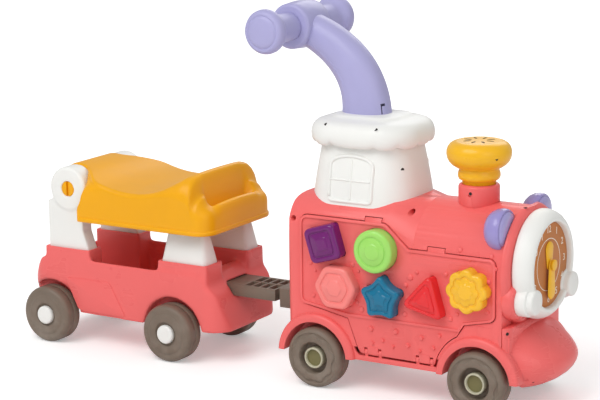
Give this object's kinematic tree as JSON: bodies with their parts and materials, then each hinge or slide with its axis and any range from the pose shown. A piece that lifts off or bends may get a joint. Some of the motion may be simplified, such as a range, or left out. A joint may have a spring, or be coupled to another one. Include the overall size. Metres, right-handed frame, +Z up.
{
  "type": "ride-on train",
  "caption": "Ride-on toy train: an engine with a shape-sorter door, clock face, horn and push handle, pulling a seat trailer.",
  "frame": {"origin": "on the floor under the middle of the whole train", "axes": "+X forwards towards the engine's nose, +Y to the train's left, +Z up"},
  "size_m": [0.76, 0.18, 0.458],
  "materials": {
    "coral": "satin moulded plastic",
    "white": "satin moulded plastic",
    "amber": "satin moulded plastic",
    "yellow": "glossy moulded plastic",
    "lavender": "satin moulded plastic",
    "taupe": "matt moulded plastic",
    "dial": "matt disc",
    "purple": "glossy moulded plastic",
    "green": "glossy moulded plastic",
    "pink": "glossy moulded plastic",
    "blue": "glossy moulded plastic",
    "red": "glossy moulded plastic",
    "cap": "satin moulded plastic",
    "bellows": "soft rubber",
    "steel": "bare steel"
  },
  "bodies": {
    "engine": {"engine_shell_right": "coral", "engine_shell_left": "coral", "engine_base": "coral", "block_bin": "coral", "engine_screws": "steel", "door_pins": "steel", "cab_body": "white", "cab_roof": "white", "handle_arm": "lavender", "handle_grip_right": "lavender", "handle_grip_left": "lavender", "chimney": "coral", "horn_bellows": "bellows", "front_ring": "white", "clock_dial": "dial", "clock_pin": "yellow", "lamp_right": "lavender", "lamp_left": "lavender", "hitch_receiver": "taupe", "hitch_pin": "taupe"},
    "sorter_door": {"sorter_door": "coral"},
    "horn_knob": {"horn_knob": "yellow"},
    "hour_hand": {"hour_hand": "yellow"},
    "minute_hand": {"minute_hand": "yellow"},
    "trailer": {"trailer_body": "coral", "rear_post_right": "white", "rear_post_left": "white", "front_post_right": "white", "front_post_left": "white", "drawbar": "taupe"},
    "seat": {"seat": "amber"},
    "block_square": {"block_square": "purple"},
    "block_circle": {"block_circle": "green"},
    "block_hexagon": {"block_hexagon": "pink"},
    "block_star": {"block_star": "blue"},
    "block_triangle": {"block_triangle": "red"},
    "block_flower": {"block_flower": "yellow"},
    "engine_rear_wheelset": {"engine_axle_rear": "steel", "engine_wheel_rear_right": "taupe", "engine_wheel_rear_left": "taupe", "engine_caps_rear": "cap"},
    "engine_front_wheelset": {"engine_axle_front": "steel", "engine_wheel_front_right": "taupe", "engine_wheel_front_left": "taupe", "engine_caps_front": "cap"},
    "trailer_rear_wheelset": {"trailer_axle_rear": "steel", "trailer_wheel_rear_right": "taupe", "trailer_wheel_rear_left": "taupe", "trailer_caps_rear": "white"},
    "trailer_front_wheelset": {"trailer_axle_front": "steel", "trailer_wheel_front_right": "taupe", "trailer_wheel_front_left": "taupe", "trailer_caps_front": "white"}
  },
  "joints": [
    {"name": "door_swing", "type": "hinge", "parent": "engine", "child": "sorter_door", "pos_m": [0.183, -0.068, 0.052], "axis": [1, 0, 0], "range_deg": [0, 90]},
    {"name": "block_square_slide", "type": "slide", "parent": "sorter_door", "child": "block_square", "axis": [0, -1, 0], "range_m": [0, 0.02]},
    {"name": "block_circle_slide", "type": "slide", "parent": "sorter_door", "child": "block_circle", "axis": [0, -1, 0], "range_m": [0, 0.02]},
    {"name": "block_hexagon_slide", "type": "slide", "parent": "sorter_door", "child": "block_hexagon", "axis": [0, -1, 0], "range_m": [0, 0.02]},
    {"name": "block_star_slide", "type": "slide", "parent": "sorter_door", "child": "block_star", "axis": [0, -1, 0], "range_m": [0, 0.02]},
    {"name": "block_triangle_slide", "type": "slide", "parent": "sorter_door", "child": "block_triangle", "axis": [0, -1, 0], "range_m": [0, 0.02]},
    {"name": "block_flower_slide", "type": "slide", "parent": "sorter_door", "child": "block_flower", "axis": [0, -1, 0], "range_m": [0, 0.02]},
    {"name": "horn_press", "type": "slide", "parent": "engine", "child": "horn_knob", "axis": [0, 0, -1], "range_m": [0, 0.004], "stiffness_N_per_m": 500, "springref_m": -0.01, "deforming": ["horn_bellows"]},
    {"name": "hour_turn", "type": "hinge", "parent": "engine", "child": "hour_hand", "pos_m": [0.338, 0, 0.168], "axis": [1, 0, 0], "continuous": true},
    {"name": "minute_turn", "type": "hinge", "parent": "engine", "child": "minute_hand", "pos_m": [0.341, 0, 0.168], "axis": [1, 0, 0], "continuous": true},
    {"name": "hitch_swing", "type": "hinge", "parent": "engine", "child": "trailer", "pos_m": [0.006, 0, 0.0905], "axis": [0, 0, 1], "range_deg": [-20, 20]},
    {"name": "seat_tip", "type": "hinge", "parent": "trailer", "child": "seat", "pos_m": [-0.311, 0, 0.206], "axis": [0, -1, 0], "range_deg": [0, 95]},
    {"name": "engine_rear_roll", "type": "hinge", "parent": "engine", "child": "engine_rear_wheelset", "pos_m": [0.07, 0, 0.037], "axis": [0, 1, 0], "continuous": true},
    {"name": "engine_front_roll", "type": "hinge", "parent": "engine", "child": "engine_front_wheelset", "pos_m": [0.288, 0, 0.037], "axis": [0, 1, 0], "continuous": true},
    {"name": "trailer_rear_roll", "type": "hinge", "parent": "trailer", "child": "trailer_rear_wheelset", "pos_m": [-0.343, 0, 0.037], "axis": [0, 1, 0], "continuous": true},
    {"name": "trailer_front_roll", "type": "hinge", "parent": "trailer", "child": "trailer_front_wheelset", "pos_m": [-0.149, 0, 0.037], "axis": [0, 1, 0], "continuous": true}
  ]
}
